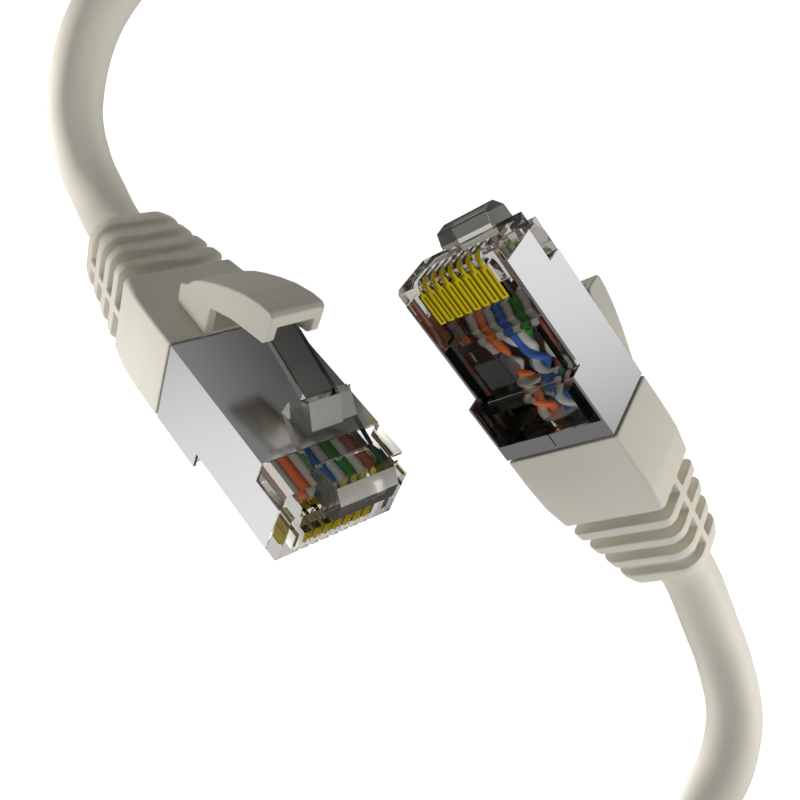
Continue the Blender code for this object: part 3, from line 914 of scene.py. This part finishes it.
WHITE = (1, 1, 1, 1)
FLOOR_SIZE = 4  # metres
FLOOR_DROP = 0.02  # below the lowest point, so that the cord doesn't touch it
FLOOR_GREY = (0.25, 0.25, 0.25)
FLOOR_GLOW = 0.68
FLOOR_SEEN = 0.3  # more, where the camera looks straight at it
PATCHES = (  # centre, radius and extra glow
    ((-60, -5), 30, 2.0),
    ((62, -40), 20, 0.5),
    ((21, -43), 15, 3.5),
)
PATCH_CORE = 0.3  # the share of the radius that has the full glow


def light_floor(tree):
    """Bright parts of the floor, which throw light up at the cord and the boots."""
    coordinates = coordinates_node(tree, "Object")
    glow = FLOOR_GLOW
    for centre, radius, extra in PATCHES:
        away = vector_node(tree, "DISTANCE", coordinates, (centre[0] * MM, centre[1] * MM, 0))
        near = PATCH_CORE * radius * MM
        patch = ramp_node(tree, away, radius * MM, near, 0, extra, "SMOOTHSTEP")
        glow = math_node(tree, "ADD", patch, glow)
    seen = tree.nodes.new("ShaderNodeLightPath").outputs["Is Camera Ray"]
    shader = tree.nodes["Principled BSDF"]
    shader.inputs["Emission Color"].default_value = WHITE
    strength = math_node(tree, "MULTIPLY_ADD", seen, FLOOR_SEEN, glow)
    tree.links.new(strength, shader.inputs["Emission Strength"])


floor_z = cad_box[0].z - FLOOR_DROP * MM
bpy.ops.mesh.primitive_plane_add(size=FLOOR_SIZE, location=(0, 0, floor_z))
floor = bpy.context.object
floor.name = "floor"
floor_material = principled("floor", FLOOR_GREY, 0.9)
light_floor(floor_material.node_tree)
floor.data.materials.append(floor_material)
floor.visible_glossy = False

# ---------------------------------------------------------------- studio, which metal and plastic mirror

BASE_LIGHT = 0.1
LOBES = (  # direction, the cosines between which the light grows, and its strength
    ((-0.8, -0.45, -0.4), 0.89, 1.0, 1.12),
    ((0.8, 0.55, -0.2), 0.87, 1.0, 1.15),
    ((-0.45, -0.88, 0.1), 0.55, 0.95, 0.145),
)
CLOUD = ((0.2, 0.97, -0.08), 0.86, 0.99, 0.55)  # the same four, for the mottled light on plug a's shield
CLOUD_SIDE = ((-0.5, 0.0, 1.0), -0.24, -0.185, 1.0)  # the cloud's clear edge on one side
CLOUD_SCALE = 9
CLOUD_DETAIL = 1
SHADE = ((0.285, 0.945, -0.16), 0.9965, 0.9995, 0.8)  # a dark spot in the middle of it


def lobe_node(tree, coordinates, direction, low, high, strength):
    """Light that grows from nothing to strength as a ray turns towards direction."""
    towards = vector_node(tree, "DOT_PRODUCT", coordinates, Vector(direction).normalized())
    return ramp_node(tree, towards, low, high, 0, strength, "SMOOTHSTEP")


def make_world():
    """White to the camera, and a dim studio with a few soft lights to everything else."""
    world = bpy.data.worlds.new("studio")
    scene.world = world
    world.use_nodes = True
    tree = world.node_tree
    tree.nodes.clear()
    coordinates = coordinates_node(tree, "Generated")
    light = BASE_LIGHT
    for lobe in LOBES:
        light = math_node(tree, "ADD", lobe_node(tree, coordinates, *lobe), light)
    cloud = noise_node(tree, coordinates, CLOUD_SCALE, CLOUD_DETAIL)
    for lobe in (CLOUD, CLOUD_SIDE):
        cloud = math_node(tree, "MULTIPLY", cloud, lobe_node(tree, coordinates, *lobe))
    light = math_node(tree, "ADD", light, cloud)
    kept = math_node(tree, "SUBTRACT", 1.0, lobe_node(tree, coordinates, *SHADE))
    light = math_node(tree, "MULTIPLY", light, kept)

    studio = tree.nodes.new("ShaderNodeBackground")
    tree.links.new(light, studio.inputs["Strength"])
    backdrop = tree.nodes.new("ShaderNodeBackground")
    backdrop.inputs["Color"].default_value = WHITE
    mix = tree.nodes.new("ShaderNodeMixShader")
    seen = tree.nodes.new("ShaderNodeLightPath").outputs["Is Camera Ray"]
    for socket, value in zip(mix.inputs, (seen, studio.outputs[0], backdrop.outputs[0])):
        tree.links.new(value, socket)
    output = tree.nodes.new("ShaderNodeOutputWorld")
    tree.links.new(mix.outputs[0], output.inputs["Surface"])


make_world()

# ---------------------------------------------------------------- lamps and camera


def add_lamp(name, data, location, target):
    """Aim a lamp that lights surfaces but isn't mirrored in them."""
    lamp = bpy.data.objects.new(name, data)
    lamp.location = Vector(location) * MM
    aim = (Vector(target) - Vector(location)).to_track_quat("-Z", "Y")
    lamp.rotation_euler = aim.to_euler()
    lamp.visible_camera = False
    lamp.visible_glossy = False
    lamp.visible_transmission = False
    collection.objects.link(lamp)


def add_disk(name, location, target, size, power):
    data = bpy.data.lights.new(name, "AREA")
    data.shape = "DISK"
    data.size = size * MM
    data.energy = power
    add_lamp(name, data, location, target)


def add_spot(name, location, target, size, cone, power):
    data = bpy.data.lights.new(name, "SPOT")
    data.shadow_soft_size = size * MM
    data.spot_size = radians(cone)
    data.spot_blend = 1.0
    data.energy = power
    add_lamp(name, data, location, target)


add_disk("fill_right", (85, -24, 14), (18, -3, 0), size=50, power=0.034)
add_disk("front", (-15, -80, 55), (-2, -2, -4), size=60, power=0.027)
add_spot("key_left", (-85, -8, 34), (-23, 3, -6), size=20, cone=36, power=0.22)
add_spot("cord_left", (-85, 30, -12), (-33, 31, -12), size=6, cone=36, power=0.2)
add_spot("cord_top", (10, 72, 40), (-33, 38, -12), size=16, cone=40, power=0.085)

CAMERA_UP = 94.9
CAMERA_SENSOR = 36
CAMERA_LENS = 41.04
NEAREST_SEEN = 1
camera_data = bpy.data.cameras.new("camera")
camera_data.sensor_width = CAMERA_SENSOR
camera_data.lens = CAMERA_LENS
camera_data.clip_start = NEAREST_SEEN * MM
camera = bpy.data.objects.new("camera", camera_data)
camera.location = placed((0, 0, CAMERA_UP))
collection.objects.link(camera)
scene.camera = camera
scene.view_settings.view_transform = "Standard"
